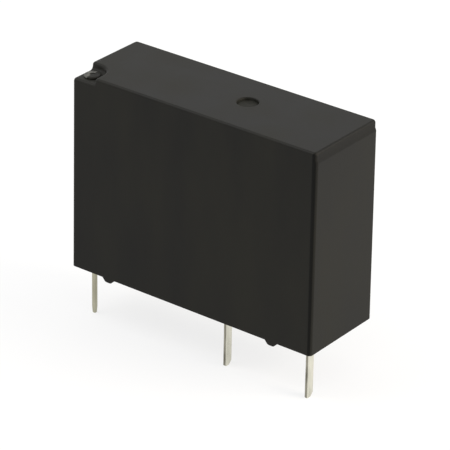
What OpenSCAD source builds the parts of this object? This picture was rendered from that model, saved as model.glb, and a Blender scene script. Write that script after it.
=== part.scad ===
// Slim power relay for a printed circuit board, with one normally open contact.
// Millimetres. The board's surface is z = 0, the case is centred on x and y,
// +X runs along the case towards the contacts, +Y to the rear row of pins, +Z up.
// The moving pieces are drawn at rest, with the coil switched off and the contacts open.

/* [Case] */
// Length of the case
case_l = 20.5; // [19:0.1:26]
// Width of the case
case_w = 7.0; // [6.6:0.1:9]
// Height of the case's top above the board
case_top = 15.05; // [14.6:0.05:19]
// Thickness of the case's walls
wall_t = 0.5; // [0.4:0.05:0.65]
// Thickness of the case's roof
roof_t = 0.6; // [0.5:0.05:0.9]
// Radius of the case's outer edges
edge_r = 0.25; // [0.1:0.05:0.4]
// How far each wall leans in between its lower edge and the top, so that the case leaves its mould
draft = 0.08; // [0:0.01:0.2]
// Height of the standoff feet
foot_h = 0.3; // [0.2:0.05:0.6]
// Distance between the feet along the case
foot_pitch = 14; // [10:0.5:17]
// Width of a foot where it leaves the wall
foot_root_w = 1.0; // [0.7:0.05:1.6]
// Width of a foot's flat end
foot_tip_w = 0.5; // [0.3:0.05:0.7]
// Height of the relief at the top of the contact end
relief_h = 0.55; // [0.4:0.05:1]
// Depth of that relief
relief_d = 0.08; // [0.04:0.01:0.15]
// Height of the slope under that relief
relief_slope = 0.2; // [0.1:0.05:0.4]

/* [Vent corner and gate] */
// Length of the vent notch along the case
notch_l = 2.0; // [1.6:0.1:2.6]
// Width of the vent notch across the case
notch_w = 2.1; // [1.6:0.1:2.6]
// Depth of the vent notch
notch_d = 0.48; // [0.3:0.02:0.8]
// Radius of the notch's inner corner
notch_r = 1.2; // [0.4:0.1:1.5]
// Diameter of the vent nib
nib_d = 1.1; // [0.7:0.05:1.2]
// Height of the vent nib above the notch's floor
nib_h = 0.12; // [0.1:0.02:0.3]
// Diameter of the dimple where the vent hole was sealed
dimple_d = 0.6; // [0.2:0.05:0.65]
// Depth of that dimple
dimple_depth = 0.04; // [0.02:0.01:0.08]
// Distance from the coil end of the case to the nib's centre
nib_x = 0.96; // [0.8:0.02:1.1]
// Distance from the front of the case to the nib's centre
nib_y = 1.1; // [0.9:0.05:1.3]
// Place of the gate recess along the case
gate_x = 1.95; // [-3:0.05:3]
// Place of the gate recess across the case
gate_y = 0.15; // [-0.5:0.05:0.5]
// Diameter of the gate recess
gate_d = 1.55; // [1:0.05:2]
// Depth of the gate recess
gate_depth = 0.2; // [0.1:0.05:0.45]

/* [Terminals] */
// Length of the terminals below the board's surface
pin_len = 3.4; // [2.5:0.1:5]
// Distance between the two contact pins
contact_pitch = 6.85; // [5:0.05:8]
// Thickness of the contact terminals
blade_t = 0.2; // [0.16:0.02:0.35]
// Width of the contact pins
blade_w = 0.66; // [0.5:0.02:0.8]
// Chamfer at the front of the contact pins' ends
blade_front_chamfer = 0.06; // [0.03:0.01:0.15]
// Chamfer at the rear of the contact pins' ends
blade_rear_chamfer = 0.26; // [0.1:0.02:0.3]
// Side of the square coil pins
coil_pin_t = 0.28; // [0.24:0.02:0.44]
// Length of the coil pins' tapered ends
coil_pin_taper = 0.5; // [0.2:0.1:1]
// Width of the contact terminals inside the case
terminal_w = 3.6; // [3:0.1:4]

/* [Base and seal] */
// Thickness of the base
base_t = 1.5; // [1.2:0.1:2]
// Thickness of the sealing resin
resin_t = 0.45; // [0.3:0.05:0.7]
// How far the resin stays inside the case's lower edge
resin_recess = 0.15; // [0.05:0.05:0.4]
// Thickness of the insulating barrier
barrier_t = 0.7; // [0.5:0.1:1]

/* [Coil] */
// Height of the bobbin's flanges
flange_h = 5.8; // [5.2:0.1:6.2]
// Thickness of the bobbin's flanges
flange_t = 0.6; // [0.4:0.05:0.8]
// Outer diameter of the bobbin's tube
tube_d = 3.2; // [3:0.1:3.6]
// Diameter of the core
core_d = 2.2; // [1.8:0.1:2.4]
// Diameter of the core's pole head
pole_d = 4.4; // [3.6:0.1:4.8]
// Thickness of the pole head
pole_t = 0.45; // [0.3:0.05:0.7]
// Diameter of the coil's wire ends
lead_d = 0.2; // [0.12:0.02:0.24]

/* [Magnet and switch] */
// Thickness of the yoke
yoke_t = 1.0; // [0.8:0.05:1.2]
// Thickness of the armature
armature_t = 0.9; // [0.7:0.05:1.1]
// Angle through which the armature tips
armature_throw = 8; // [5:0.5:9]
// Thickness of the hinge spring
hinge_spring_t = 0.15; // [0.1:0.01:0.2]
// Height of the actuator card
card_h = 1.6; // [1.3:0.1:1.9]
// Width of the actuator card
card_w = 2.8; // [2.6:0.1:3.4]
// Thickness of the moving spring
leaf_t = 0.2; // [0.12:0.02:0.3]
// Diameter of the contacts
contact_d = 2.4; // [2:0.1:2.6]
// Thickness of a contact's head
contact_t = 0.5; // [0.35:0.05:0.7]

/* [Hidden] */
$fn = 48;

// Clearances: assembly fit, running fit, slots for terminals and rivet holes
fit = 0.05;
run = 0.1;
slot_play = 0.03;
hole_play = 0.02;
// Overshoot that lets a cut pass clear of a face
over = 0.5;

// Inside of the case
inner_x = case_l / 2 - wall_t;
inner_y = case_w / 2 - wall_t;
roof_z = case_top - roof_t;

// Levels from the board up to the yoke's hinge edge
resin_z = foot_h + resin_recess;
base_z = resin_z + resin_t;
floor_z = base_z + base_t;
axis_z = floor_z + flange_h / 2;
yoke_gap = 0.2;
yoke_z = floor_z + flange_h + yoke_gap;
hinge_z = yoke_z + yoke_t;

// Levels of the actuator card and of the two tips that it links
card_headroom = 0.7;
card_cap_t = 0.45;
tip_gap = 0.3;
card_top_z = roof_z - card_headroom;
card_z = card_top_z - card_h;
pocket_z = card_top_z - card_cap_t;
tip_z = pocket_z - tip_gap;
link_z = (card_z + tip_z) / 2;
tip_w = 1.6;

// Moving spring's root, the contact's height, and the travel of card, spring and contact
root_rise = 0.8;
root_z = floor_z + root_rise;
contact_below_card = 0.3;
contact_z = card_z - contact_below_card - contact_d / 2;
throw_rad = armature_throw * PI / 180;
card_travel = (link_z - hinge_z) * throw_rad;
leaf_rad = card_travel / (link_z - root_z);
contact_shy = 0.02;
contact_gap = (contact_z - root_z) * leaf_rad + contact_shy;

// Places along the case, worked back from the contact end
end_gap = 0.1;
fixed_x = inner_x - end_gap - blade_t / 2;
common_x = fixed_x - contact_pitch;
fixed_face_x = fixed_x - blade_t / 2;
leaf_x = fixed_face_x - 2 * contact_t - contact_gap - leaf_t;
leaf_gap = 0.08;
tab_x = leaf_x - leaf_gap - blade_t;
barrier_gap = 1.1;
barrier_x = tab_x - barrier_gap - barrier_t;
swing_gap = 0.4;
armature_rise = 0.8;
armature_z = floor_z + armature_rise;
hinge_x = barrier_x - swing_gap - armature_t * cos(armature_throw)
    - (hinge_z - armature_z) * sin(armature_throw);
pole_x = hinge_x - fit;

// Places at the coil end
yoke_end_gap = 0.25;
yoke_x = -(inner_x - yoke_end_gap);
coil_left_x = yoke_x + yoke_t + fit;
coil_right_x = pole_x - pole_t;
bobbin_l = coil_right_x - hole_play - coil_left_x;
coil_pin_gap = 0.6;
coil_x = -(inner_x - coil_pin_gap - coil_pin_t / 2);

// Rows of pins, the coil's width and its wire ends
row_gap = 0.15;
row_y = inner_y - row_gap - blade_w / 2;
row_out_y = row_y + blade_w / 2;
flange_w = 2 * (inner_y - 2 * fit);
flange_lip = 0.2;
winding_d = min(flange_w, flange_h) - 2 * flange_lip;
lead_drop = 1.5;
lead_z = axis_z - lead_drop;
lead_end_y = sqrt(pow(winding_d / 2, 2) - pow(lead_drop - lead_d / 2, 2)) + hole_play;
lead_reach = 0.4;
solder_d = 0.72;
coil_pin_top = 0.25;

// The yoke and armature pass between the two solder joints
yoke_w = 2 * (row_y - solder_d / 2 - run);

// Core's staked tenon and the armature's neck
tenon_d = 1.6;
neck_w = 3.0;
neck_drop = 0.4;

// Rivets and the shanks and tails of the contacts
rivet_d = 0.9;
rivet_head_d = 1.5;
rivet_head_t = 0.25;
rivet_edge = 0.8;
rivet_pitch = terminal_w - 2 * rivet_edge;
hinge_rivet_back = 4.4;
hinge_rivet_x = hinge_x - hinge_rivet_back;
shank_d = 1.2;
tail_d = 1.8;
tail_t = 0.25;
crown = 0.15;

// Base plate, and the upright tab and plate that stand in it
base_x = inner_x - fit;
base_y = inner_y - fit;
tab_rise = 1.1;
tab_top_z = root_z + tab_rise;
seat_depth = 0.8;
plate_rise = 0.3;
plate_y = [-row_out_y, terminal_w / 2];
plate_z = [floor_z - seat_depth, contact_z + contact_d / 2 + plate_rise];

// Shapes that several pieces share

// Block between two limits on each axis, grown by a clearance
module block(x, y, z, grow = 0) {
    translate([x[0] - grow, y[0] - grow, z[0] - grow])
        cube([x[1] - x[0] + 2 * grow, y[1] - y[0] + 2 * grow, z[1] - z[0] + 2 * grow]);
}

// Outline in the x-z plane, extruded across the case between two y limits
module across(y) {
    translate([0, y[1], 0])
        rotate([90, 0, 0])
            linear_extrude(y[1] - y[0])
                children();
}

// Outline in the y-z plane, extruded along the case between two x limits
module along(x) {
    translate([x[0], 0, 0])
        rotate([90, 0, 90])
            linear_extrude(x[1] - x[0])
                children();
}

// Cylinder along +X
module rod_x(d, l) {
    rotate([0, 90, 0]) cylinder(d = d, h = l);
}

// Section of a right-angled bend in a strip, round its inside corner, in the quadrant that dx and dz name
module bend_outline(strip_t, dx, dz) {
    intersection() {
        circle(strip_t);
        translate([min(dx, 0) * strip_t, min(dz, 0) * strip_t]) square(strip_t);
    }
}

// Post with a domed top, the corner of a moulded block
module domed_post(h, r) {
    rotate_extrude($fn = 32) {
        square([r, h - r]);
        translate([0, h - r])
            intersection() {
                circle(r, $fn = 32);
                square(r);
            }
    }
}

// Moulded block with leaning walls, round upright and top edges and a sharp lower edge
module moulded_block(l, w, h, r, lean) {
    hull()
        for (x = [-1, 1], y = [-1, 1]) {
            translate([x * (l / 2 - r), y * (w / 2 - r), 0])
                cylinder(r = r, h = r, $fn = 32);
            translate([x * (l / 2 - r - lean), y * (w / 2 - r - lean), h - 2 * r])
                domed_post(2 * r, r);
        }
}

// Tapered square pin with its blunt end down
module coil_pin(top_z) {
    taper_share = 0.6;
    tip = taper_share * coil_pin_t / 2;
    side = coil_pin_t / 2;
    outline = [
        [-tip, -pin_len], [tip, -pin_len], [side, coil_pin_taper - pin_len],
        [side, top_z], [-side, top_z], [-side, coil_pin_taper - pin_len]
    ];
    intersection() {
        across([-side, side]) polygon(outline);
        along([-side, side]) polygon(outline);
    }
}

// Contact pin's outline across the case, with a chamfer at each corner of its end
module blade_outline(top_z) {
    side = blade_w / 2;
    polygon([
        [-side + blade_front_chamfer, -pin_len], [side - blade_rear_chamfer, -pin_len],
        [side, blade_rear_chamfer - pin_len], [side, top_z],
        [-side, top_z], [-side, blade_front_chamfer - pin_len]
    ]);
}

// Rivet contact along +X from its seat: a crowned head, a shank back through the sheet, and its tail
module contact_rivet(sheet_t, tail_t) {
    head_r = contact_d / 2;
    crown_r = (pow(head_r, 2) + pow(crown, 2)) / (2 * crown);
    rotate([0, 90, 0])
        rotate_extrude() {
            intersection() {
                square([head_r, contact_t]);
                translate([0, contact_t - crown_r]) circle(crown_r, $fn = 96);
            }
            translate([0, -sheet_t]) square([shank_d / 2, sheet_t]);
            if (tail_t > 0)
                translate([0, -sheet_t - tail_t]) square([tail_d / 2, tail_t]);
        }
}

// Hole for a rivet contact's shank, along +X
module contact_hole(sheet_t) {
    translate([-over, 0, 0]) rod_x(shank_d + 2 * hole_play, sheet_t + 2 * over);
}

// Case: one moulding with its feet, vent corner, gate recess and end relief

// Foot under the wall's lower edge, seen from the front
module foot_outline() {
    polygon([
        [-foot_root_w / 2, foot_h], [-foot_tip_w / 2, 0],
        [foot_tip_w / 2, 0], [foot_root_w / 2, foot_h]
    ]);
}

module feet() {
    for (x = [-1, 1], y = [-1, 1])
        translate([x * foot_pitch / 2, y * (case_w - wall_t) / 2, 0])
            across([-wall_t / 2, wall_t / 2]) foot_outline();
}

// Plan of the vent notch, measured from the case's corner and grown by a wall
module notch_plan(grow = 0) {
    l = notch_l + grow;
    w = notch_w + grow;
    r = notch_r + grow;
    square([l - r, w]);
    square([l, w - r]);
    translate([l - r, w - r]) circle(r);
}

// Hollow of the case, with its roof stepped down under the notch and thickened under the gate
module case_hollow() {
    step_z = roof_z - notch_d;
    boss_d = gate_d + 2 * wall_t;
    boss_z = roof_z - gate_depth;
    difference() {
        block([-inner_x, inner_x], [-inner_y, inner_y], [foot_h - over, roof_z]);
        translate([-case_l / 2, -case_w / 2, step_z])
            linear_extrude(notch_d + over) notch_plan(wall_t);
        translate([gate_x, gate_y, boss_z])
            cylinder(d = boss_d, h = case_top - boss_z);
    }
}

// Shallow relief at the top of the contact end, with a sloped lower edge
module end_relief() {
    x = case_l / 2 - draft - relief_d;
    z = case_top - relief_h;
    slope_l = relief_d + over;
    across([-case_w, case_w])
        polygon([
            [x, case_top + over], [x, z],
            [x + slope_l, z - relief_slope * slope_l / relief_d], [x + slope_l, case_top + over]
        ]);
}

module vent_nib() {
    translate([nib_x - case_l / 2, nib_y - case_w / 2, case_top - notch_d])
        difference() {
            cylinder(d = nib_d, h = nib_h);
            translate([0, 0, nib_h - dimple_depth])
                cylinder(d = dimple_d, h = dimple_depth + over);
        }
}

module case() {
    color([0.20, 0.20, 0.19]) {
        difference() {
            union() {
                translate([0, 0, foot_h])
                    moulded_block(case_l, case_w, case_top - foot_h, edge_r, draft);
                feet();
            }
            case_hollow();
            translate([-case_l / 2, -case_w / 2, case_top - notch_d])
                linear_extrude(notch_d + over) {
                    notch_plan();
                    translate([-over, -over]) square([notch_l + over, over]);
                    translate([-over, -over]) square([over, notch_w + over]);
                }
            translate([gate_x, gate_y, case_top - gate_depth])
                cylinder(d = gate_d, h = gate_depth + over);
            end_relief();
        }
        vent_nib();
    }
}

// Base, seal and terminals

// Groove under the base, and slot through it, that take the bent common terminal
strip_w = 1.6;
strip_foot_l = 0.8;
strip_z = [base_z, base_z + blade_t];
tab_y = [-terminal_w / 2, terminal_w / 2];

module common_slot() {
    tab_right = tab_x + blade_t;
    block([common_x - blade_t / 2, tab_right], [-row_out_y, strip_w - row_out_y], strip_z, slot_play);
    block([tab_x - strip_foot_l, tab_right], [-row_out_y, tab_y[1]], strip_z, slot_play);
    block([tab_x, tab_right], tab_y, [base_z, tab_top_z], slot_play);
}

// Common terminal above its pin: a bend, a run that widens to a foot, a second bend and an upright tab
module common_strip() {
    pin_y = [-row_out_y, blade_w - row_out_y];
    pin_inside_x = common_x + blade_t / 2;
    foot_x = tab_x - strip_foot_l;
    across(pin_y) translate([pin_inside_x, base_z]) bend_outline(blade_t, -1, 1);
    block([pin_inside_x, tab_x], [-row_out_y, strip_w - row_out_y], strip_z);
    block([foot_x, tab_x], [-row_out_y, tab_y[1]], strip_z);
    across(tab_y) translate([tab_x, strip_z[1]]) bend_outline(blade_t, 1, -1);
    block([tab_x, tab_x + blade_t], tab_y, [strip_z[1], tab_top_z]);
}

// Contact pin, from its chamfered end up
module contact_pin(x, top_z) {
    translate([x, -row_y, 0])
        along([-blade_t / 2, blade_t / 2]) blade_outline(top_z);
}

module contact_pin_slot(x, z) {
    block([x - blade_t / 2, x + blade_t / 2], [-row_out_y, blade_w - row_out_y], z);
}

module coil_pin_slots(z, play) {
    side = coil_pin_t / 2 + play;
    for (y = [-row_y, row_y])
        block([coil_x - side, coil_x + side], [y - side, y + side], z);
}

module base() {
    through = [base_z - over, floor_z + over];
    color([0.16, 0.17, 0.18])
        difference() {
            union() {
                block([-base_x, base_x], [-base_y, base_y], [base_z, floor_z]);
                block([barrier_x, barrier_x + barrier_t], [-base_y, base_y], [floor_z, card_z - run]);
            }
            coil_pin_slots(through, slot_play);
            common_slot();
            // The end of the base is open for the fixed terminal's pin and the foot of its plate
            block([fixed_face_x, inner_x], [plate_y[0], plate_y[0] + blade_w], through, slot_play);
            block([fixed_face_x, inner_x], plate_y, [plate_z[0], floor_z + over], slot_play);
        }
}

module sealing_resin() {
    through = [resin_z - over, base_z + over];
    color([0.10, 0.10, 0.11])
        difference() {
            block([-inner_x, inner_x], [-inner_y, inner_y], [resin_z, base_z]);
            coil_pin_slots(through, 0);
            contact_pin_slot(common_x, through);
            contact_pin_slot(fixed_x, through);
        }
}

module common_terminal() {
    color([0.80, 0.76, 0.66])
        difference() {
            union() {
                contact_pin(common_x, base_z);
                common_strip();
            }
            for (y = [-1, 1])
                translate([tab_x - over, y * rivet_pitch / 2, root_z])
                    rod_x(rivet_d + 2 * leaf_gap, blade_t + 2 * over);
        }
}

module fixed_terminal() {
    color([0.80, 0.76, 0.66])
        difference() {
            union() {
                contact_pin(fixed_x, floor_z);
                block([fixed_face_x, fixed_face_x + blade_t], plate_y, plate_z);
            }
            translate([fixed_face_x, 0, contact_z]) contact_hole(blade_t);
        }
}

module coil_terminal(y) {
    color([0.78, 0.74, 0.66])
        translate([coil_x, y, 0]) coil_pin(lead_z + coil_pin_top);
}

module coil_terminal_front() {
    coil_terminal(-row_y);
}

module coil_terminal_rear() {
    coil_terminal(row_y);
}

// Coil

module coil_bobbin() {
    lead_slot = lead_d + 2 * run;
    color([0.25, 0.26, 0.28])
        difference() {
            union() {
                for (x = [coil_left_x, coil_left_x + bobbin_l - flange_t])
                    block([x, x + flange_t], [-flange_w / 2, flange_w / 2], [floor_z, floor_z + flange_h]);
                translate([coil_left_x, 0, axis_z]) rod_x(tube_d, bobbin_l);
            }
            translate([coil_left_x - over, 0, axis_z]) rod_x(core_d + 2 * fit, bobbin_l + 2 * over);
            // Side slots that let the wire ends out past the flange at the coil end
            for (y = [-1, 1])
                translate([0, y * (row_y - lead_slot / 2 + flange_w / 2), 0])
                    block([coil_left_x, coil_left_x + flange_t],
                        [-flange_w / 2, flange_w / 2],
                        [lead_z - lead_slot / 2, lead_z + lead_slot / 2], hole_play);
        }
}

module coil_winding() {
    l = bobbin_l - 2 * (flange_t + fit);
    color([0.72, 0.36, 0.16])
        translate([coil_left_x + flange_t + fit, 0, axis_z])
            difference() {
                rod_x(winding_d, l);
                translate([-over, 0, 0]) rod_x(tube_d + 2 * hole_play, l + 2 * over);
            }
}

// Core turned in one piece: tenon, stem and pole head
module core() {
    stem_l = coil_right_x - yoke_x;
    color([0.62, 0.63, 0.65])
        translate([yoke_x, 0, axis_z])
            rotate([0, 90, 0])
                rotate_extrude()
                    polygon([
                        [0, 0], [tenon_d / 2, 0], [tenon_d / 2, yoke_t], [core_d / 2, yoke_t],
                        [core_d / 2, stem_l], [pole_d / 2, stem_l], [pole_d / 2, stem_l + pole_t],
                        [0, stem_l + pole_t]
                    ]);
}

// Wire end from a coil pin, along the case past the flange, then in to the winding
module coil_lead(side) {
    pin_face_x = coil_x + coil_pin_t / 2;
    turn_x = coil_left_x + flange_t + lead_reach;
    color([0.80, 0.45, 0.22])
        translate([0, side * row_y, lead_z]) {
            translate([pin_face_x, 0, 0]) rod_x(lead_d, turn_x - pin_face_x);
            translate([turn_x, 0, 0]) sphere(d = lead_d);
            translate([turn_x, 0, 0])
                rotate([side * 90, 0, 0]) cylinder(d = lead_d, h = row_y - lead_end_y);
        }
}

module coil_lead_front() {
    coil_lead(-1);
}

module coil_lead_rear() {
    coil_lead(1);
}

module solder_joint(side) {
    pin = coil_pin_t / 2;
    color([0.75, 0.76, 0.78])
        translate([coil_x, side * row_y, lead_z])
            difference() {
                sphere(d = solder_d);
                block([-pin, pin], [-pin, pin], [-over, coil_pin_top]);
                translate([pin, 0, 0]) rod_x(lead_d, solder_d);
            }
}

module solder_joint_front() {
    solder_joint(-1);
}

module solder_joint_rear() {
    solder_joint(1);
}

// Yoke, armature and their spring

// Side view of the yoke, bent from one strip round the outside of its corner
module yoke_outline() {
    inside_x = yoke_x + yoke_t;
    translate([yoke_x, floor_z]) square([yoke_t, yoke_z - floor_z]);
    translate([inside_x, yoke_z]) square([pole_x - inside_x, yoke_t]);
    translate([inside_x, yoke_z]) bend_outline(yoke_t, -1, 1);
}

module yoke() {
    color([0.60, 0.61, 0.63])
        difference() {
            across([-yoke_w / 2, yoke_w / 2]) yoke_outline();
            translate([yoke_x - over, 0, axis_z])
                rod_x(tenon_d + 2 * hole_play, yoke_t + 2 * over);
            translate([hinge_rivet_x, 0, yoke_z - over])
                cylinder(d = rivet_d + 2 * hole_play, h = yoke_t + 2 * over);
        }
}

// Armature seen along the case: a wide lower plate, a neck and a tip, from the hinge line
module armature_outline() {
    shoulder_gap = 0.5;
    corner = 0.4;
    low = armature_z - hinge_z;
    shoulder = card_z - hinge_z - shoulder_gap;
    top = tip_z - hinge_z;
    w = yoke_w / 2;
    polygon([
        [-w + corner, low], [w - corner, low], [w, low + corner],
        [w, -neck_drop], [neck_w / 2, -neck_drop],
        [neck_w / 2, shoulder - corner], [neck_w / 2 - corner, shoulder], [tip_w / 2, shoulder],
        [tip_w / 2, top], [-tip_w / 2, top],
        [-tip_w / 2, shoulder], [corner - neck_w / 2, shoulder], [-neck_w / 2, shoulder - corner],
        [-neck_w / 2, -neck_drop], [-w, -neck_drop], [-w, low + corner]
    ]);
}

module armature() {
    color([0.66, 0.67, 0.69])
        translate([hinge_x, 0, hinge_z])
            rotate([0, -armature_throw, 0])
                along([0, armature_t]) armature_outline();
}

// Leaf on the yoke with a window that the armature's neck stands in
module hinge_spring() {
    window_w = neck_w + 3 * run;
    window_x = [-2.5 * run, armature_t + 2 * run];
    side_w = 0.45;
    bar_l = 0.5;
    heel = 1.4;
    w = window_w + 2 * side_w;
    left_x = hinge_rivet_x - heel;
    color([0.78, 0.60, 0.36])
        translate([0, 0, hinge_z])
            linear_extrude(hinge_spring_t)
                difference() {
                    translate([left_x, -w / 2]) square([hinge_x + window_x[1] + bar_l - left_x, w]);
                    translate([hinge_x + window_x[0], -window_w / 2])
                        square([window_x[1] - window_x[0], window_w]);
                    translate([hinge_rivet_x, 0]) circle(d = rivet_d + 2 * hole_play);
                }
}

module hinge_rivet() {
    color([0.70, 0.70, 0.72])
        translate([hinge_rivet_x, 0, yoke_z]) {
            cylinder(d = rivet_d, h = yoke_t + hinge_spring_t);
            translate([0, 0, yoke_t + hinge_spring_t]) cylinder(d = rivet_head_d, h = rivet_head_t);
        }
}

// Switch

// Card with one pocket for the armature's tip and one for the moving spring's tip
module actuator_card() {
    end_t = 0.55;
    tip_end_z = hinge_z + (tip_z - hinge_z) * cos(armature_throw);
    armature_pocket = [
        hinge_x - (tip_end_z - hinge_z) * tan(armature_throw) - run,
        hinge_x + armature_t / cos(armature_throw) - (card_z - hinge_z) * tan(armature_throw) + run
    ];
    leaf_pocket = [leaf_x - run, leaf_x + leaf_t + run];
    pocket_y = [-tip_w / 2 - run, tip_w / 2 + run];
    color([0.86, 0.85, 0.80])
        difference() {
            block([armature_pocket[0] - end_t, leaf_pocket[1] + end_t],
                [-card_w / 2, card_w / 2], [card_z, card_top_z]);
            block(armature_pocket, pocket_y, [card_z - over, pocket_z]);
            block(leaf_pocket, pocket_y, [card_z - over, pocket_z]);
        }
}

// Moving spring seen along the case: two legs, a wide head for the contact and a narrow tip
module leaf_outline() {
    w = terminal_w / 2;
    end_play = 0.15;
    leg_w = 1.1;
    web = 0.6;
    low_z = floor_z + end_play;
    head_z = card_z - end_play;
    slot_z = [tab_top_z + web, contact_z - contact_d / 2 - web];
    slot_w = 2 * (w - leg_w);
    difference() {
        union() {
            translate([-w, low_z]) square([2 * w, head_z - low_z]);
            translate([-tip_w / 2, low_z]) square([tip_w, tip_z - low_z]);
        }
        translate([-slot_w / 2, slot_z[0] + slot_w / 2])
            square([slot_w, slot_z[1] - slot_z[0] - slot_w]);
        for (z = [slot_z[0] + slot_w / 2, slot_z[1] - slot_w / 2])
            translate([0, z]) circle(d = slot_w);
    }
}

module moving_spring() {
    color([0.80, 0.52, 0.30])
        difference() {
            along([leaf_x, leaf_x + leaf_t]) leaf_outline();
            translate([leaf_x, 0, contact_z]) contact_hole(leaf_t);
            for (y = [-1, 1])
                translate([leaf_x - over, y * rivet_pitch / 2, root_z])
                    rod_x(rivet_d + 2 * hole_play, leaf_t + 2 * over);
        }
}

module moving_contact() {
    color([0.86, 0.86, 0.84])
        translate([leaf_x + leaf_t, 0, contact_z]) contact_rivet(leaf_t, tail_t);
}

// Two rivets that hold the moving spring to the common terminal's tab
module spring_rivets() {
    tail_x = tab_x - leaf_gap;
    head_x = leaf_x + leaf_t;
    color([0.75, 0.70, 0.60])
        for (y = [-1, 1])
            translate([0, y * rivet_pitch / 2, root_z]) {
                translate([tail_x - rivet_head_t, 0, 0]) rod_x(rivet_head_d, rivet_head_t);
                translate([tail_x, 0, 0]) rod_x(rivet_d, head_x - tail_x);
                translate([head_x, 0, 0]) rod_x(rivet_head_d, rivet_head_t);
            }
}

module fixed_contact() {
    color([0.86, 0.86, 0.84])
        translate([fixed_face_x, 0, contact_z])
            mirror([1, 0, 0]) contact_rivet(blade_t, 0);
}

case();
base();
sealing_resin();
coil_bobbin();
coil_winding();
core();
yoke();
armature();
hinge_spring();
hinge_rivet();
actuator_card();
moving_spring();
moving_contact();
spring_rivets();
fixed_contact();
common_terminal();
fixed_terminal();
coil_terminal_front();
coil_terminal_rear();
coil_lead_front();
coil_lead_rear();
solder_joint_front();
solder_joint_rear();
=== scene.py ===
# %% [markdown]
# A slim power relay for a printed circuit board
#
# The relay is a plain black box about 20 mm long that stands on four thin terminals. What makes it
# look real is small: the soft edges that a mould leaves, a vent corner with a sealed nib, the round
# recess where the plastic was injected, and bright tinned pins under a dark case.
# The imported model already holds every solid, so this lesson is about dressing it. The pieces that
# the eye meets are modelled again with rounded edges, and the rest get the finish of their material.

import math

import bmesh
import bpy
from mathutils import Matrix, Vector


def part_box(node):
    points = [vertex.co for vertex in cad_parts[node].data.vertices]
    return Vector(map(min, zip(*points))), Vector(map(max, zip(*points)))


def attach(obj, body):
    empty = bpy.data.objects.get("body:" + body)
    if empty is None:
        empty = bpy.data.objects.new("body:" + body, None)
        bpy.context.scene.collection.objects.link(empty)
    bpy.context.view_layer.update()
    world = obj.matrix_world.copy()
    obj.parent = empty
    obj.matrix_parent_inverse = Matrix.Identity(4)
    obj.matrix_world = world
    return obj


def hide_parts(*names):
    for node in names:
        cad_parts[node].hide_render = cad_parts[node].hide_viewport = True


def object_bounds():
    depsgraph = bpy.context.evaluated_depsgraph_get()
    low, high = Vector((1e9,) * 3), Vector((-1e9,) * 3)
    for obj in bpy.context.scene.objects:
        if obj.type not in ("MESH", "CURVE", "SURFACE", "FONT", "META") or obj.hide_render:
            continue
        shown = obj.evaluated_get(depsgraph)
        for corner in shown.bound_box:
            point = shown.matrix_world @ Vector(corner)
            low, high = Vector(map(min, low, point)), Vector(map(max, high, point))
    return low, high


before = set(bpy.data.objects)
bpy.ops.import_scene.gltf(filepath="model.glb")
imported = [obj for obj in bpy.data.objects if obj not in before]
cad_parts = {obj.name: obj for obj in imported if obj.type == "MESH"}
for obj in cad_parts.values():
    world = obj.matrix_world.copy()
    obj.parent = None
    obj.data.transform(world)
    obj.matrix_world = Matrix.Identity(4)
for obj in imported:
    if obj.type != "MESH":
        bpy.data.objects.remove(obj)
CAD_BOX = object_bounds()
MM = 0.001
print("CAD box in mm:", [[round(x / MM, 2) for x in corner] for corner in CAD_BOX])

# %% [markdown]
# The photograph's camera
#
# A long lens flattens the box, so its verticals hardly lean. The place, the angles and the lens were
# found by fitting the case's outline, and the image is taken to be 450 pixels square. The camera's
# own Z axis points back at the photographer, which is why the turn is built from that direction.

# %% Camera
CAMERA_PLACE = Vector((110.535, -145.801, 98.496)) * MM
CAMERA_AZIMUTH = math.radians(37.073)
CAMERA_ELEVATION = math.radians(26.973)
CAMERA_ROLL = math.radians(1.09)
FOCAL_PIXELS = 3029.0
IMAGE_PIXELS = 450
SENSOR_WIDTH = 36.0
NEAREST_SEEN = 0.01


def new_object(name, data):
    """Add an object with this camera, mesh or lamp to the scene."""
    made = bpy.data.objects.new(name, data)
    bpy.context.scene.collection.objects.link(made)
    return made


backwards = Vector((
    math.sin(CAMERA_AZIMUTH) * math.cos(CAMERA_ELEVATION),
    -math.cos(CAMERA_AZIMUTH) * math.cos(CAMERA_ELEVATION),
    math.sin(CAMERA_ELEVATION),
))
camera_turn = backwards.to_track_quat("Z", "Y").to_matrix() @ Matrix.Rotation(CAMERA_ROLL, 3, "Z")
camera = new_object("camera", bpy.data.cameras.new("camera"))
camera.data.sensor_width = SENSOR_WIDTH
camera.data.lens = SENSOR_WIDTH * FOCAL_PIXELS / IMAGE_PIXELS
camera.data.clip_start = NEAREST_SEEN
camera.matrix_world = Matrix.Translation(CAMERA_PLACE) @ camera_turn.to_4x4()
bpy.context.scene.camera = camera
print("lens in mm:", round(camera.data.lens, 1))

# %% [markdown]
# Colours and nodes
#
# A colour picked from a screen is in sRGB, and shader sockets take linear light, so one function turns
# hex values round. Another adds a node with its settings and links. Most of a node's inputs go by
# name. Those that share a name, such as the two shaders that a mix joins, go by number.

# %% Colour and node helpers


def linear(hex_colour):
    """The linear RGBA of an sRGB hex value such as #2b2a28, by the numbers of the sRGB curve."""
    channels = [int(hex_colour[i:i + 2], 16) / 255 for i in (1, 3, 5)]
    return [c / 12.92 if c <= 0.04045 else ((c + 0.055) / 1.055) ** 2.4 for c in channels] + [1.0]


def empty_tree(owner):
    """Turn on the nodes of a material or a world, and return its tree with nothing in it."""
    owner.use_nodes = True
    owner.node_tree.nodes.clear()
    return owner.node_tree


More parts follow.
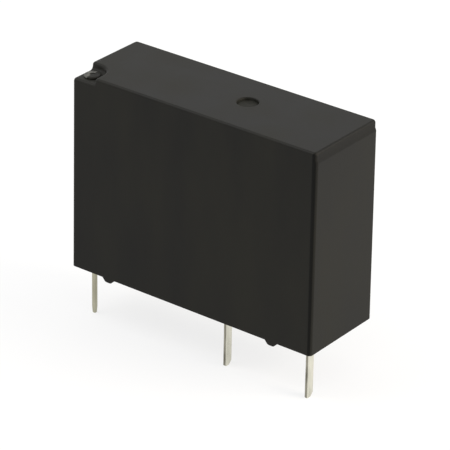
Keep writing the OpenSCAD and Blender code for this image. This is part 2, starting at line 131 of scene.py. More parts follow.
def add(tree, kind, settings=None, numbered=(), **named):
    """Add a node, set its properties, and set or link its inputs, by number or by name."""
    node = tree.nodes.new(kind)
    for name, value in (settings or {}).items():
        setattr(node, name, value)
    inputs = list(zip(node.inputs, numbered))
    inputs += [(node.inputs[name.replace("_", " ")], value) for name, value in named.items()]
    for socket, value in inputs:
        if isinstance(value, bpy.types.NodeSocket):
            tree.links.new(value, socket)
        else:
            socket.default_value = value
    return node


print("mid grey in linear light:", round(linear("#808080")[0], 3))

# %% [markdown]
# How every finish starts
#
# No real surface has one even colour. Each finish could have its own way of varying, but all of them
# start alike here: from the piece's own coordinates, and a tone that drifts between two colours in
# patches whose size is given in millimetres. Stretched coordinates draw the patches out along an axis.
# A noise seldom leaves the middle third of its range, so that third is spread over the whole drift.

# %% Drifting tone
NOISE_LOW, NOISE_HIGH = 0.32, 0.68
EVEN = (1, 1, 1)


def per_mm(size):
    """The texture scale whose features are about this many millimetres across."""
    return 1 / (size * MM)


def start_finish(name, colours, patch_size, stretch=EVEN):
    """A material with a tone that drifts between two colours, in patches of this size in millimetres.

    Returns the material, the stretched coordinates, the drift from 0 to 1, and its colour."""
    material = bpy.data.materials.new(name)
    tree = empty_tree(material)
    place = add(tree, "ShaderNodeTexCoord").outputs["Object"]
    place = add(tree, "ShaderNodeMapping", Vector=place, Scale=stretch).outputs["Vector"]
    noise = add(tree, "ShaderNodeTexNoise", Vector=place, Scale=per_mm(patch_size), Detail=3.0)
    spread = add(tree, "ShaderNodeMapRange", Value=noise.outputs["Fac"],
                 From_Min=NOISE_LOW, From_Max=NOISE_HIGH)
    drift = spread.outputs["Result"]
    tone = add(tree, "ShaderNodeValToRGB", Fac=drift)
    for element, colour in zip(tone.color_ramp.elements, colours):
        element.color = linear(colour)
    return material, place, drift, tone.outputs["Color"]


print("texture scale of features 1 mm across:", round(per_mm(1)))

# %% [markdown]
# Moulded plastic
#
# The case is glass-filled PBT, moulded against a lightly spark-eroded steel cavity. To the eye that
# is a near-black, slightly warm surface with a broad soft sheen. Slow flow marks a few millimetres
# wide vary the tone and the sheen. The real grain is about 0.03 mm, too fine to show, so it is drawn
# at 0.07 mm. An image could hold both, but a noise has no seams. Both are drawn out along the mould's
# opening. Filled plastic mirrors less than a polished one, so the mirror value, which is 0.5 for the
# full reflection of the IOR, was lowered until the roof matched the photograph.

# %% Moulded plastic
ERODED_GRAIN = 0.07
FLOW_MARK = 3.5
DRAWN_OUT = (1, 1, 0.3)
SHEEN_DRIFT = 0.04


def moulded_plastic(name, colours, roughness, grain_depth=0.004, mark_size=FLOW_MARK, mirror=0.18):
    """Moulded thermoplastic: fine eroded grain, and slow flow marks in tone and sheen."""
    material, place, flow, tone = start_finish(name, colours, mark_size, DRAWN_OUT)
    tree = material.node_tree
    sheen = add(tree, "ShaderNodeMapRange", Value=flow,
                To_Min=roughness - SHEEN_DRIFT, To_Max=roughness + SHEEN_DRIFT)
    grain = add(tree, "ShaderNodeTexNoise", Vector=place, Scale=per_mm(ERODED_GRAIN), Detail=2.0)
    bump = add(tree, "ShaderNodeBump", Height=grain.outputs["Fac"], Distance=grain_depth * MM)
    shader = add(tree, "ShaderNodeBsdfPrincipled", Base_Color=tone, IOR=1.5, Specular_IOR_Level=mirror,
                 Roughness=sheen.outputs["Result"], Normal=bump.outputs["Normal"])
    add(tree, "ShaderNodeOutputMaterial", Surface=shader.outputs["BSDF"])
    return material


case_plastic = moulded_plastic("moulded_black_pbt", ("#0b0a06", "#17160f"), roughness=0.48)
print("case plastic:", case_plastic.name)

# %% [markdown]
# Other finishes of the case, with painted light and shade
#
# One moulding shows several finishes. Where the vent nib was melted shut and sheared off, the plastic
# is paler, and on the nib's left half that paler finish is also a painted highlight from the lamp at
# the upper front left. Where the gate was torn off it is dull and blotchy. Down the front half of one
# upright edge runs a painted shade, a darker line that mirrors less, where the edge turns away from the
# lamps at the front left and on the right. The band at the top of the right-hand end is painted shade
# too: darker, and it mirrors a little less. Paint could mark these places, but it would need a map.
# Here each is the same recipe with other values, and a number on every face picks one from the list.

# %% Other finishes of the case
# Paler sheared plastic, which on the nib's left half is also a painted highlight.
sheared_and_highlit_plastic = moulded_plastic("pbt_sheared_and_painted_highlight", ("#424240", "#63635d"), roughness=0.5,
                                  grain_depth=0.012, mark_size=0.3)
torn_plastic = moulded_plastic("torn_black_pbt", ("#1b1b17", "#292924"), roughness=0.6,
                               grain_depth=0.012, mark_size=0.4, mirror=0.12)
# A painted shade: a darker line down one upright, which mirrors less.
upright_shade_plastic = moulded_plastic("pbt_painted_upright_shade", ("#0a0a08", "#0e0e0b"), roughness=0.5, mirror=0.1)
# A painted shade: a darker band at the top of the right-hand end, which mirrors less.
band_shade_plastic = moulded_plastic("pbt_painted_band_shade", ("#0b0a06", "#14130d"), roughness=0.5, mirror=0.155)
CASE_FINISHES = [case_plastic, sheared_and_highlit_plastic, torn_plastic, upright_shade_plastic, band_shade_plastic]
PLAIN, SHEARED_AND_HIGHLIT, TORN_OFF, UPRIGHT_SHADE, BAND_SHADE = range(len(CASE_FINISHES))
print("case finishes:", [finish.name for finish in CASE_FINISHES])

# %% [markdown]
# The case, first the plain moulding
#
# The real case is one moulding: a box that is open underneath, with walls half a millimetre thick.
# It could be cut from solid boxes, but it is simpler to grow: a cube up to the level of the vent
# corner's floor, its top squeezed by the mould's draft, its four uprights rounded, and its underside
# inset and pushed in to make the hollow. Every piece is modelled in millimetres in a bmesh, and
# scaled to metres once, at the end.

# %% Case block
CASE_LOW, CASE_HIGH = (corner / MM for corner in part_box("case"))
TOP = CASE_HIGH.z
FOOT_H = 0.3
RIM_Z = CASE_LOW.z + FOOT_H
NOTCH_D = 0.48
NOTCH_Z = TOP - NOTCH_D
DRAFT = 0.08
ROOF_LOW = CASE_LOW.xy + Vector((DRAFT, DRAFT))
ROOF_HIGH = CASE_HIGH.xy - Vector((DRAFT, DRAFT))
NEAR = 0.001
SQUARE_ON = 0.9


def flat_face(bm, height, facing):
    """The largest face at this height that faces up (1) or down (-1)."""
    level = [f for f in bm.faces
             if abs(f.calc_center_median().z - height) < NEAR and f.normal.z * facing > SQUARE_ON]
    return max(level, key=lambda f: f.calc_area())


case = bmesh.new()
block_low = Vector((CASE_LOW.x, CASE_LOW.y, RIM_Z))
block_high = Vector((CASE_HIGH.x, CASE_HIGH.y, NOTCH_Z))
block_size = block_high - block_low
block_place = Matrix.LocRotScale((block_low + block_high) / 2, None, block_size)
bmesh.ops.create_cube(case, size=1, matrix=block_place)
squeeze = Vector((1 - 2 * DRAFT / block_size.x, 1 - 2 * DRAFT / block_size.y, 1))
bmesh.ops.scale(case, vec=squeeze, verts=flat_face(case, NOTCH_Z, 1).verts)
print("case block in mm:", [round(length, 2) for length in block_size])

# %% Rounded uprights
UPRIGHT_R = 0.26


def soften(bm, edges, radius, segments):
    """Round these edges."""
    bmesh.ops.bevel(bm, geom=edges, offset=radius, offset_type="OFFSET", segments=segments, profile=0.5,
                    affect="EDGES", material=-1, clamp_overlap=True)


uprights = [e for e in case.edges if abs(e.verts[0].co.z - e.verts[1].co.z) > NEAR]
soften(case, uprights, UPRIGHT_R, segments=8)
print("rounded uprights:", len(uprights))

# %% Hollow underside
WALL_T = 0.5
CEILING_Z = 13.9


def push(bm, face, offset):
    """Extrude one face by this offset, and return it where it now is."""
    moved = bmesh.ops.extrude_discrete_faces(bm, faces=[face])["faces"][0]
    bmesh.ops.translate(bm, vec=offset, verts=moved.verts)
    return moved


underside = flat_face(case, RIM_Z, -1)
bmesh.ops.inset_region(case, faces=[underside], thickness=WALL_T, use_even_offset=True)
push(case, flat_face(case, RIM_Z, -1), (0, 0, CEILING_Z - RIM_Z))
print("hollow case:", len(case.faces), "faces")

# %% [markdown]
# The vent corner
#
# One top corner is stepped down so that the vent nib never touches a pick-up nozzle. The top face is
# split along the notch's outline, straight lines with a round inner corner, and the larger part is
# pushed up. That leaves the notch's floor where it was, with upright walls around it. The push leaves a
# seam round the sides, which would stop a bevel, so it is dissolved. A fillet then joins the floor to
# the wall, and the whole lip is rounded in one go, down one corner, along the floor and up the other.

# %% Notch outline
NOTCH_L = 2.0
NOTCH_W = 2.1
NOTCH_R = 1.2


def arc(centre, radius, start, end, steps):
    """Points on a level arc, with both its ends, between two angles in degrees."""
    angles = [math.radians(start + (end - start) * i / steps) for i in range(steps + 1)]
    return [centre + Vector((math.cos(a), math.sin(a), 0)) * radius for a in angles]


notch_rear = Vector((ROOF_LOW.x, CASE_LOW.y + NOTCH_W, NOTCH_Z))
notch_right = Vector((CASE_LOW.x + NOTCH_L, ROOF_LOW.y, NOTCH_Z))
inner_corner = Vector((notch_right.x - NOTCH_R, notch_rear.y - NOTCH_R, NOTCH_Z))
notch_bend = arc(inner_corner, NOTCH_R, 90, 0, steps=12)
print("points round the notch's inner corner:", len(notch_bend))

# %% Step at the notch


def border_vert(face, point):
    """The nearest border vertex to this point: a new one, where the nearest place is along an edge."""

    def nearest_share(edge):
        start, end = (v.co for v in edge.verts)
        along = (point - start).dot(end - start) / (end - start).length_squared
        return min(max(along, 0), 1)

    def gap(edge):
        start, end = (v.co for v in edge.verts)
        return (start.lerp(end, nearest_share(edge)) - point).length

    edge = min(face.edges, key=gap)
    share = nearest_share(edge)
    if share in (0, 1):
        return edge.verts[share]
    return bmesh.utils.edge_split(edge, edge.verts[0], share)[1]


top_face = flat_face(case, NOTCH_Z, 1)
ends = [border_vert(top_face, point) for point in (notch_rear, notch_right)]
bmesh.utils.face_split(top_face, *ends, coords=notch_bend)
push(case, flat_face(case, NOTCH_Z, 1), (0, 0, NOTCH_D))
print("notch floor in square mm:", round(flat_face(case, NOTCH_Z, 1).calc_area(), 2))

# %% Fillet and lip
FILLET_R = 0.24
LIP_R = 0.22
FLAT_ANGLE = math.radians(1)
LIP_ANGLE = math.radians(60)

seam = [e for e in case.edges if e.calc_face_angle(math.pi) < FLAT_ANGLE
        and all(abs(v.co.z - NOTCH_Z) < NEAR for v in e.verts)]
bmesh.ops.dissolve_edges(case, edges=seam, use_verts=True)
notch_floor = flat_face(case, NOTCH_Z, 1)
wall_foot = [e for e in notch_floor.edges
             if max(f.calc_center_median().z for f in e.link_faces) > NOTCH_Z + NEAR]
soften(case, wall_foot, FILLET_R, segments=4)
lip = [e for e in case.edges if e.calc_face_angle(0) > LIP_ANGLE
       and NOTCH_Z - NEAR < min(v.co.z for v in e.verts) < TOP - NEAR]
soften(case, lip, LIP_R, segments=4)
print("edges along the wall's foot:", len(wall_foot), "and along the lip:", len(lip))

# %% [markdown]
# The relief at the contact end
#
# The top of the right-hand end is set back by less than a tenth of a millimetre, where the mould's
# two halves met. A step could be modelled as a ledge, but the real one is too soft for that. The end's
# faces are cut at two levels, and everything above the upper cut moves in, so the band between the
# cuts becomes a gentle slope.

# %% End relief
RELIEF_H = 0.55
RELIEF_SLOPE = 0.2
RELIEF_D = 0.08


def slice_faces(bm, faces, point, across):
    """Cut these faces along a plane through this point that lies square to the direction across."""
    parts = dict.fromkeys(part for f in faces for part in (f, *f.edges, *f.verts))
    bmesh.ops.bisect_plane(bm, geom=list(parts), dist=NEAR / 10, plane_co=point, plane_no=across)


for level in (TOP - RELIEF_H, TOP - RELIEF_H - RELIEF_SLOPE):
    end_faces = [f for f in case.faces if f.calc_center_median().x > CASE_HIGH.x - UPRIGHT_R]
    slice_faces(case, end_faces, (0, 0, level), (0, 0, 1))
set_back = [v for v in case.verts
            if v.co.z > TOP - RELIEF_H - NEAR and v.co.x > ROOF_HIGH.x - UPRIGHT_R - NEAR]
bmesh.ops.translate(case, vec=(-RELIEF_D, 0, 0), verts=set_back)
print("vertices set back:", len(set_back))

# %% [markdown]
# Rounded roof and gate recess
#
# Moulds have no sharp outer edges, so the roof's whole outline is rounded too. Plastic entered through
# the round recess in the roof, and its gate was torn off there. A circle could be cut with a Boolean,
# but two splits along half circles leave clean faces that still bevel well.

# %% Rounded roof
ROOF_EDGE_R = 0.2

soften(case, list(flat_face(case, TOP, 1).edges), ROOF_EDGE_R, segments=5)
roof = flat_face(case, TOP, 1)
print("flat roof in square mm:", round(roof.calc_area(), 1))

# %% Gate recess
GATE = Vector((1.95, 0.15, TOP))
GATE_R = 0.75
GATE_DEPTH = 0.2
GATE_RIM_R = 0.08
HALF_CIRCLE_STEPS = 24


def cut_disc(bm, face, centre, radius, rear_y, front_y):
    """Cut a round face out of a level one, with a straight cut to its border behind and in front."""
    rear = border_vert(face, Vector((centre.x, rear_y, centre.z)))
    front = border_vert(face, Vector((centre.x, front_y, centre.z)))
    right_half = arc(centre, radius, 90, -90, HALF_CIRCLE_STEPS)
    left_half = arc(centre, radius, 90, 270, HALF_CIRCLE_STEPS)
    bmesh.utils.face_split(face, rear, front, coords=right_half)
    arc_ends = (right_half[0], right_half[-1])
    top, bottom = (min(bm.verts, key=lambda v: (v.co - end).length) for end in arc_ends)
    shared = [f for f in top.link_faces if bottom in f.verts]
    left = min(shared, key=lambda f: f.calc_center_median().x)
    bmesh.utils.face_split(left, top, bottom, coords=left_half[1:-1])
    return min(top.link_faces, key=lambda f: (f.calc_center_median() - centre).length)


gate = cut_disc(case, roof, GATE, GATE_R, ROOF_HIGH.y - ROOF_EDGE_R, ROOF_LOW.y + ROOF_EDGE_R)
gate_rim = list(gate.edges)
push(case, gate, (0, 0, -GATE_DEPTH))
soften(case, gate_rim, GATE_RIM_R, segments=3)
for face in case.faces:
    middle = face.calc_center_median()
    sunk = TOP - GATE_DEPTH - NEAR < middle.z < TOP - GATE_RIM_R
    if sunk and (middle.xy - GATE.xy).length < GATE_R + NEAR:
        face.material_index = TORN_OFF
print("torn faces:", sum(face.material_index == TORN_OFF for face in case.faces))

# %% [markdown]
# The vent nib
#
# The nib is a low round button with a dimple, where the vent hole was melted shut. It could be a
# separate cylinder, but on the real case it grows out of the notch's floor, so a disc is cut out of
# that floor and pushed up, and its rim is rounded. The top of its left half is paler: partly the
# sheared plastic, and partly a painted highlight from the lamp at the upper front left. The dimple
# and the right half keep the case's colour.

# %% Vent nib
NIB_FROM_LEFT = 0.95
NIB_FROM_FRONT = 1.16
NIB = Vector((CASE_LOW.x + NIB_FROM_LEFT, CASE_LOW.y + NIB_FROM_FRONT, NOTCH_Z))
NIB_R = 0.6
NIB_H = 0.15
NIB_EDGE_R = 0.11
DIMPLE_R = 0.2
DIMPLE_DEPTH = 0.03

notch_floor = flat_face(case, NOTCH_Z, 1)
nib = cut_disc(case, notch_floor, NIB, NIB_R, notch_rear.y, ROOF_LOW.y + LIP_R)
nib = push(case, nib, (0, 0, NIB_H))
soften(case, list(nib.edges), NIB_EDGE_R, segments=5)
nib = flat_face(case, NOTCH_Z + NIB_H, 1)
bmesh.ops.inset_region(case, faces=[nib], thickness=NIB_R - NIB_EDGE_R - DIMPLE_R)
# Paler on the top of the nib's left half: sheared plastic and a painted highlight.
for face in case.faces:
    from_nib = face.calc_center_median() - NIB
    paler_nib_top = from_nib.z > NIB_H - NIB_EDGE_R - NEAR and from_nib.xy.length < NIB_R
    if paler_nib_top and from_nib.x < 0:
        face.material_index = SHEARED_AND_HIGHLIT
dimple = push(case, flat_face(case, NOTCH_Z + NIB_H, 1), (0, 0, -DIMPLE_DEPTH))
dimple.material_index = PLAIN
print("sheared faces:", sum(face.material_index == SHEARED_AND_HIGHLIT for face in case.faces))

# %% [markdown]
# Standoff feet
#
# Four small feet hold the case a little above the board, so that solder flux can be washed out. Each
# grows from the rim of the wall, flush with its outer face, and narrows to a flat end with rounded
# sides. Separate blocks would leave seams, so the rim is cut at the feet's sides, and each piece
# between two cuts is pushed down and squeezed.

# %% Feet
FOOT_PITCH = 14.0
FOOT_ROOT_W = 1.0
FOOT_TIP_W = 0.5
FOOT_EDGE_R = 0.11


def rim_faces():
    """The faces on the case's lower rim."""
    return [f for f in case.faces
            if f.normal.z < -SQUARE_ON and abs(f.calc_center_median().z - RIM_Z) < NEAR]


for side in (-1, 1):
    for edge in (-1, 1):
        cut_x = side * FOOT_PITCH / 2 + edge * FOOT_ROOT_W / 2
        slice_faces(case, rim_faces(), (cut_x, 0, 0), (1, 0, 0))
roots = [f for f in rim_faces() if abs(abs(f.calc_center_median().x) - FOOT_PITCH / 2) < NEAR]
for root in roots:
    tip = push(case, root, (0, 0, -FOOT_H))
    bmesh.ops.scale(case, vec=(FOOT_TIP_W / FOOT_ROOT_W, 1, 1), verts=tip.verts,
                    space=Matrix.Translation(-tip.calc_center_median()))
    sides = [e for e in tip.edges if abs(e.verts[0].co.x - e.verts[1].co.x) < NEAR]
    soften(case, sides, FOOT_EDGE_R, segments=3)
print("feet:", len(roots))

# %% [markdown]
# Painted shade down one upright and on the relief
#
# The case's faces now have their final place, so those at the contact end can be told by where they
# lie and where they face. The front half of the right-hand upright faces forwards and a little to the
# right, and gets a painted shade where it turns away from both lamps. The relief's slope and the band
# above it get a painted shade of their own.

# %% Painted shade on the upright and the relief
# How far the normal of an upright may lean up or down, and how far that of the end has to point right.
UPRIGHT_LEAN = 0.5
END_SHARE = 0.3

# Painted shade down the upright's front half, and on the band at the top of the end.
for face in case.faces:
    middle = face.calc_center_median()
    to_right, to_rear, upwards = face.normal
    outer = middle.x > ROOF_HIGH.x - UPRIGHT_R - RELIEF_D
    if outer and to_right > NEAR and to_rear < -to_right and abs(upwards) < UPRIGHT_LEAN:
        face.material_index = UPRIGHT_SHADE
    elif outer and to_right > END_SHARE and middle.z > TOP - RELIEF_H - RELIEF_SLOPE:
        face.material_index = BAND_SHADE
# Counts the faces with the painted shade down the upright.
print("shaded_upright faces:", sum(face.material_index == UPRIGHT_SHADE for face in case.faces))

# %% [markdown]
# From a bmesh to a finished piece
#
# A bmesh is only a workbench. A finished piece is a mesh in metres with its materials, in an object at
# the origin that rides a body of the model and stands for its solid, which it hides. Its faces are
# shaded smooth, apart from sharp edges, and a modifier weights the normals by area. Without it the
# large flat faces would look bent beside their rounded edges.

# %% Finished case


def mesh_from(bm, name, materials):
    """Turn a bmesh in millimetres into a mesh in metres with these materials, and free the bmesh."""
    bmesh.ops.scale(bm, vec=(MM, MM, MM), verts=bm.verts)
    mesh = bpy.data.meshes.new(name)
    bm.to_mesh(mesh)
    bm.free()
    for material in materials:
        mesh.materials.append(material)
    return mesh


def make_piece(bm, name, materials, replaced, smooth_under=40):
    """Turn the bmesh into a finished object that rides the housing and stands for its nodes."""
    mesh = mesh_from(bm, name, materials)
    mesh.shade_smooth()
    mesh.set_sharp_from_angle(angle=math.radians(smooth_under))
    piece = new_object(name, mesh)
    piece.modifiers.new("flat_faces_stay_flat", "WEIGHTED_NORMAL").keep_sharp = True
    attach(piece, "housing")
    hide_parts(*replaced)
    print(name, "faces:", len(mesh.polygons), "stands for:", replaced)


make_piece(case, "case_moulding", CASE_FINISHES, ["case"])

# %% [markdown]
# The finish of the sealing resin
#
# The open underside is closed with black epoxy, poured with the relay upside down and cured in an
# oven. It sets smooth and glossy, with slow ripples, so its roughness is low and its bump is wide
# and shallow. An even gloss would look like glass, so one drift gives the tone, the sheen and the
# ripples.

# %% Resin finish
RIPPLE = 1.6
RIPPLE_DEPTH = 0.015
RESIN_SHEEN = (0.14, 0.3)


def cured_resin(name, colours):
    """Poured and cured epoxy: glossy, with wide shallow ripples."""
    material, _, ripple, tone = start_finish(name, colours, RIPPLE)
    tree = material.node_tree
    sheen = add(tree, "ShaderNodeMapRange", Value=ripple, To_Min=RESIN_SHEEN[0], To_Max=RESIN_SHEEN[1])
    bump = add(tree, "ShaderNodeBump", Height=ripple, Distance=RIPPLE_DEPTH * MM)
    shader = add(tree, "ShaderNodeBsdfPrincipled", Base_Color=tone, IOR=1.55,
                 Roughness=sheen.outputs["Result"], Normal=bump.outputs["Normal"])
    add(tree, "ShaderNodeOutputMaterial", Surface=shader.outputs["BSDF"])
    return material


sealing_epoxy = cured_resin("cured_black_epoxy", ("#191a1b", "#26272a"))
print("resin finish:", sealing_epoxy.name)

# %% [markdown]
# The sealing resin
#
# Poured resin creeps up whatever it wets, so its surface curves towards the case's walls and the pins.
# A flat plate would look like a lid. Here a fine grid is moved, vertex by vertex, by its distance from
# the nearest wall or pin, and the skirt and the hidden upper side are then extruded and filled.

# %% What the resin wets
RESIN_LOW, RESIN_HIGH = (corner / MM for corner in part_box("sealing_resin"))
COIL_PIN = (0.28, 0.28)
BLADE_PIN = (0.2, 0.66)
COIL_X = -9.01
COMMON_X = 2.7
FIXED_X = 9.55
ROW_Y = 2.52
PINS = [((COIL_X, -ROW_Y), COIL_PIN), ((COIL_X, ROW_Y), COIL_PIN),
        ((COMMON_X, -ROW_Y), BLADE_PIN), ((FIXED_X, -ROW_Y), BLADE_PIN)]


def gap_to_wetted(x, y):
    """Distance from the nearest wall or pin, in millimetres."""
    gaps = [RESIN_HIGH.x - abs(x), RESIN_HIGH.y - abs(y)]
    for (pin_x, pin_y), (pin_l, pin_w) in PINS:
        beside = max(abs(x - pin_x) - pin_l / 2, 0)
        behind = max(abs(y - pin_y) - pin_w / 2, 0)
        gaps.append(math.hypot(beside, behind))
    return max(min(gaps), 0)


print("middle of the pour to the nearest wall, in mm:", round(gap_to_wetted(0, 0), 2))

# %% Resin pour
CREEP_H = 0.1
CREEP_L = 0.16
GRID_STEP = 0.11

resin = bmesh.new()
bmesh.ops.create_grid(resin, x_segments=round(2 * RESIN_HIGH.x / GRID_STEP), size=1,
                      y_segments=round(2 * RESIN_HIGH.y / GRID_STEP),
                      matrix=Matrix.Diagonal((RESIN_HIGH.x, RESIN_HIGH.y, 1, 1)))
for vert in resin.verts:
    vert.co.z = RESIN_LOW.z - CREEP_H * math.exp(-gap_to_wetted(vert.co.x, vert.co.y) / CREEP_L)
border = [e for e in resin.edges if e.is_boundary]
skirt = bmesh.ops.extrude_edge_only(resin, edges=border)["geom"]
for vert in (part for part in skirt if isinstance(part, bmesh.types.BMVert)):
    vert.co.z = RESIN_HIGH.z
bmesh.ops.edgeloop_fill(resin, edges=[e for e in resin.edges if e.is_boundary])
bmesh.ops.recalc_face_normals(resin, faces=resin.faces)
make_piece(resin, "resin_pour", [sealing_epoxy], ["sealing_resin"], smooth_under=60)

# %% [markdown]
# Sheet metal
#
# The blades are stamped from brass strip and plated with matt tin, which is bright and slightly warm.
# The coil pins are tinned copper wire, a little duller. Rolling leaves faint lines along the strip,
# drawn here at 0.05 mm, coarser than the real ones, so that they show. The sheen drifts in patches
# about half a millimetre wide and two long. An anisotropic shader could hint at the lines, but here
# both are a noise stretched along the strip. A stamped edge is torn rather than rolled: darker,
# rougher and more coarsely streaked, so it is the same recipe with other values.

# %% Sheet metal
ROLL_LINE = 0.05
DULL_PATCH = 0.5
DULL_DRIFT = 0.08
ALONG_Z = (1, 1, 0.25)


def sheet_metal(name, colours, roughness, stretch, line_size=ROLL_LINE, line_depth=0.002):
    """Bare or plated metal: tone and sheen drift in patches, and rolling leaves fine lines."""
    material, place, patch, tone = start_finish(name, colours, DULL_PATCH, stretch)
    tree = material.node_tree
    sheen = add(tree, "ShaderNodeMapRange", Value=patch,
                To_Min=roughness - DULL_DRIFT, To_Max=roughness + DULL_DRIFT)
    lines = add(tree, "ShaderNodeTexNoise", Vector=place, Scale=per_mm(line_size), Detail=1.0)
    bump = add(tree, "ShaderNodeBump", Height=lines.outputs["Fac"], Distance=line_depth * MM)
    shader = add(tree, "ShaderNodeBsdfPrincipled", Base_Color=tone, Metallic=1.0,
                 Roughness=sheen.outputs["Result"], Normal=bump.outputs["Normal"])
    add(tree, "ShaderNodeOutputMaterial", Surface=shader.outputs["BSDF"])
    return material


tinned_metal = sheet_metal("tinned_brass", ("#cac8b9", "#e2e0d2"), roughness=0.34, stretch=ALONG_Z)
tinned_wire = sheet_metal("tinned_copper_wire", ("#a3a08c", "#b8b5a1"), roughness=0.4, stretch=ALONG_Z)
torn_edge = sheet_metal("torn_brass_edge", ("#524f44", "#aeab9d"), roughness=0.5, stretch=ALONG_Z,
                        line_size=0.12, line_depth=0.01)
print("terminal finishes:", tinned_metal.name, torn_edge.name, tinned_wire.name)

# %% [markdown]
# The terminals
#
# Stamped pins lose their sharp edges to plating and dipping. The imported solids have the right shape
# but hard edges, so each is copied, its loose triangles are merged back into whole faces, and its
# edges are rounded by a few hundredths of a millimetre, enough to catch a line of light. The faces
# across the strip, where the stamp tore it, get the darker finish. The coil pins are cut wire, and
# their ends are made a little blunter.

# %% Softened terminals
PIN_EDGE_R = 0.025
HARD_ANGLE = math.radians(25)
TIP_H = 0.01
BLUNTER = 1.3
ROLLED, TORN = 0, 1


def blunt_tip(bm):
    """Widen the lower end of a pin."""
    tip = [v for v in bm.verts if v.co.z < CAD_BOX[0].z / MM + TIP_H]
    middle = sum((v.co for v in tip), Vector()) / len(tip)
    bmesh.ops.scale(bm, vec=(BLUNTER, BLUNTER, 1), verts=tip, space=Matrix.Translation(-middle))


def soft_copy(node, finish, torn_side=None, cut_wire=False):
    """Copy a packed terminal with rounded edges; torn_side is the direction that its torn edges face."""
    bm = bmesh.new()
    bm.from_mesh(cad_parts[node].data)
    bmesh.ops.scale(bm, vec=(1 / MM, 1 / MM, 1 / MM), verts=bm.verts)
    bmesh.ops.remove_doubles(bm, verts=bm.verts, dist=NEAR)
    bmesh.ops.dissolve_limit(bm, angle_limit=FLAT_ANGLE, verts=bm.verts, edges=bm.edges)
    for face in bm.faces:
        torn = torn_side is not None and abs(face.normal.dot(torn_side)) > SQUARE_ON
        face.material_index = TORN if torn else ROLLED
    if cut_wire:
        blunt_tip(bm)
    soften(bm, [e for e in bm.edges if e.calc_face_angle(0) > HARD_ANGLE], PIN_EDGE_R, segments=2)
    make_piece(bm, node + "_tinned", [finish, torn_edge], [node])


for node in ("coil_terminal_front", "coil_terminal_rear"):
    soft_copy(node, tinned_wire, cut_wire=True)
for node in ("common_terminal", "fixed_terminal"):
    soft_copy(node, tinned_metal, torn_side=Vector((0, 1, 0)))

# %% [markdown]
# The coil's wire
#
# The coil is wound from enamelled copper wire about a tenth of a millimetre thick. Thousands of turns
# could be modelled, but nobody sees them until the case is opened, so a wave in the bump gives one
# ridge for every turn, and a clear coat stands for the lacquer.

# %% Enamelled wire
WIRE_PITCH = 0.12
TURN_DEPTH = 0.03


def enamelled_wire(name, colours):
    """A winding of enamelled copper: a ridge for every turn, under a glossy lacquer."""
    material, place, _, tone = start_finish(name, colours, DULL_PATCH)
    tree = material.node_tree
    turns = add(tree, "ShaderNodeTexWave", {"bands_direction": "X"}, Vector=place,
                Scale=per_mm(WIRE_PITCH) / (2 * math.pi), Distortion=0.4)
    bump = add(tree, "ShaderNodeBump", Height=turns.outputs["Fac"], Distance=TURN_DEPTH * MM)
    shader = add(tree, "ShaderNodeBsdfPrincipled", Base_Color=tone, Metallic=0.8, Roughness=0.32,
                 Coat_Weight=0.6, Coat_Roughness=0.12, Normal=bump.outputs["Normal"])
    add(tree, "ShaderNodeOutputMaterial", Surface=shader.outputs["BSDF"])
    return material


coil_wire = enamelled_wire("enamelled_copper_wire", ("#8a3f1d", "#b4592c"))
print("coil finish:", coil_wire.name)

# %% [markdown]
# What is inside
#
# The case hides the coil, the magnet and the switch, and their solids are already right, so they keep
# their shape and only get finishes. Plated iron is a cool satin grey, the bronze of the springs warm and
# bright, the brass of the rivets yellow, the silver of the contacts nearly white, and solder smooth and
# soft-edged, so its lines are coarse. The base, the bobbin and the card are moulded in dark, grey and
# ivory plastic. Dressing the solids in place keeps every one where the mechanism needs it.

# %% Inner finishes
ALONG_X = (0.25, 1, 1)

INNER_FINISHES = {
    moulded_plastic("moulded_dark_base", ("#232527", "#2c2e31"), roughness=0.5):
        ["base"],
    moulded_plastic("moulded_grey_bobbin", ("#3b3d41", "#494b50"), roughness=0.45):
        ["coil_bobbin"],
    moulded_plastic("moulded_ivory_card", ("#d8d2c0", "#e2ddce"), roughness=0.45):
        ["actuator_card"],
    coil_wire:
        ["coil_winding", "coil_lead_front", "coil_lead_rear"],
    sheet_metal("nickel_plated_iron", ("#9a9c9d", "#b3b4b2"), roughness=0.36, stretch=ALONG_X):
        ["core", "yoke", "armature"],
    sheet_metal("phosphor_bronze_strip", ("#a97f4f", "#c29a66"), roughness=0.3, stretch=ALONG_Z):
        ["hinge_spring", "moving_spring"],
    sheet_metal("turned_brass", ("#b08d45", "#cbaa62"), roughness=0.32, stretch=ALONG_X):
        ["hinge_rivet", "spring_rivets"],
    sheet_metal("silver_alloy", ("#c4c4c2", "#dcdcd8"), roughness=0.34, stretch=EVEN):
        ["moving_contact", "fixed_contact"],
    sheet_metal("soft_solder", ("#a6a8aa", "#c3c5c6"), roughness=0.28, stretch=EVEN,
                line_size=0.2, line_depth=0.004):
        ["solder_joint_front", "solder_joint_rear"],
}
for material, nodes in INNER_FINISHES.items():
    for node in nodes:
        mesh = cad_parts[node].data
        mesh.materials.clear()
        mesh.materials.append(material)
print("inner nodes dressed:", sum(len(nodes) for nodes in INNER_FINISHES.values()))

# %% [markdown]
# The floor
#
# The photograph shows the relay on plain white, so the floor is white card that lies at the tips of the
# pins. Stronger lamps could make it white, but they would wash out the relay too. Instead the card
# glows to the camera and in reflections, and stays plain paper to the rays that light the relay. It
# keeps a soft shadow, because only a share of it glows.

# %% White card
GLOW_SHARE = 0.75


def seen_directly(tree):
    """Add nodes that give 1 where the background is seen, straight or mirrored, and 0 where it lights."""
    ray = add(tree, "ShaderNodeLightPath").outputs
    seen = ray["Is Camera Ray"]
    for name in ("Is Glossy Ray", "Is Transmission Ray"):
        either = add(tree, "ShaderNodeMath", {"operation": "MAXIMUM"}, (seen, ray[name]))
        seen = either.outputs["Value"]
    return seen


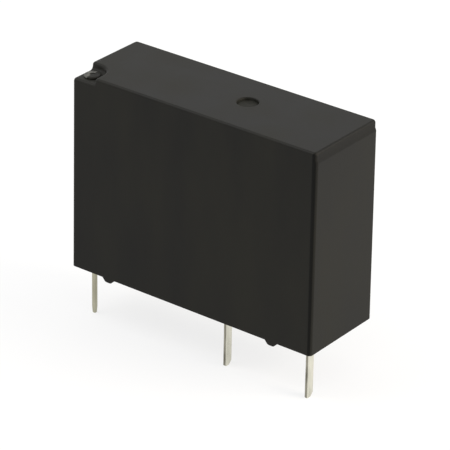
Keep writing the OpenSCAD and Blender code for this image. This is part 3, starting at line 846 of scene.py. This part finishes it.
white_card = bpy.data.materials.new("white_card")
card_tree = empty_tree(white_card)
paper = add(card_tree, "ShaderNodeBsdfDiffuse", Color=linear("#fafafa"))
glow = add(card_tree, "ShaderNodeEmission", Color=linear("#ffffff"), Strength=1.0)
glowing = add(card_tree, "ShaderNodeMath", {"operation": "MULTIPLY"}, (seen_directly(card_tree), GLOW_SHARE))
card_mix = add(card_tree, "ShaderNodeMixShader",
               numbered=(glowing.outputs["Value"], paper.outputs["BSDF"], glow.outputs["Emission"]))
add(card_tree, "ShaderNodeOutputMaterial", Surface=card_mix.outputs["Shader"])
print("nodes in the card:", len(card_tree.nodes))

# %% Floor
FLOOR_SIZE = 1200
FLOOR_Z = CAD_BOX[0].z / MM

card = bmesh.new()
bmesh.ops.create_grid(card, x_segments=1, y_segments=1, size=FLOOR_SIZE / 2,
                      matrix=Matrix.Translation((0, 0, FLOOR_Z)))
floor = new_object("floor", mesh_from(card, "floor", [white_card]))
print("floor at", round(FLOOR_Z, 2), "mm")

# %% [markdown]
# Room and lamps
#
# The room gives even light, and is plain white where it is seen. A sky or a picture of a studio would
# add reflections that the photograph doesn't have. A large lamp at the upper front left shapes the
# roof, and a smaller, slightly warm one on the right lifts the contact end. A weak third one behind is
# mirrored by the rounded edge between roof and end, which would look dark without it.

# %% Room
ROOM_LIGHT = 0.75

world = bpy.data.worlds.new("room")
room_tree = empty_tree(world)
fill = add(room_tree, "ShaderNodeBackground", Color=linear("#ffffff"), Strength=ROOM_LIGHT)
backdrop = add(room_tree, "ShaderNodeBackground", Color=linear("#ffffff"), Strength=1.0)
shown = seen_directly(room_tree)
room_mix = add(room_tree, "ShaderNodeMixShader",
               numbered=(shown, fill.outputs["Background"], backdrop.outputs["Background"]))
add(room_tree, "ShaderNodeOutputWorld", Surface=room_mix.outputs["Shader"])
bpy.context.scene.world = world
bpy.context.scene.view_settings.view_transform = "Standard"
print("nodes in the room:", len(room_tree.nodes))

# %% Lamps
LAMP_TARGET = Vector((0, 0, TOP / 2)) * MM


def soft_lamp(name, place, size, watts, colour="#ffffff"):
    """A square area lamp that faces the middle of the case; its place and size are in millimetres."""
    lamp = bpy.data.lights.new(name, "AREA")
    lamp.size = size * MM
    lamp.energy = watts
    lamp.color = linear(colour)[:3]
    holder = new_object(name, lamp)
    holder.location = Vector(place) * MM
    aim = LAMP_TARGET - holder.location
    holder.rotation_euler = aim.to_track_quat("-Z", "Y").to_euler()


soft_lamp("key_lamp", place=(-125, -90, 215), size=180, watts=0.23)
soft_lamp("end_lamp", place=(190, 60, 90), size=110, watts=0.4, colour="#fff4e4")
soft_lamp("edge_lamp", place=(100, 156, 118), size=120, watts=0.05)
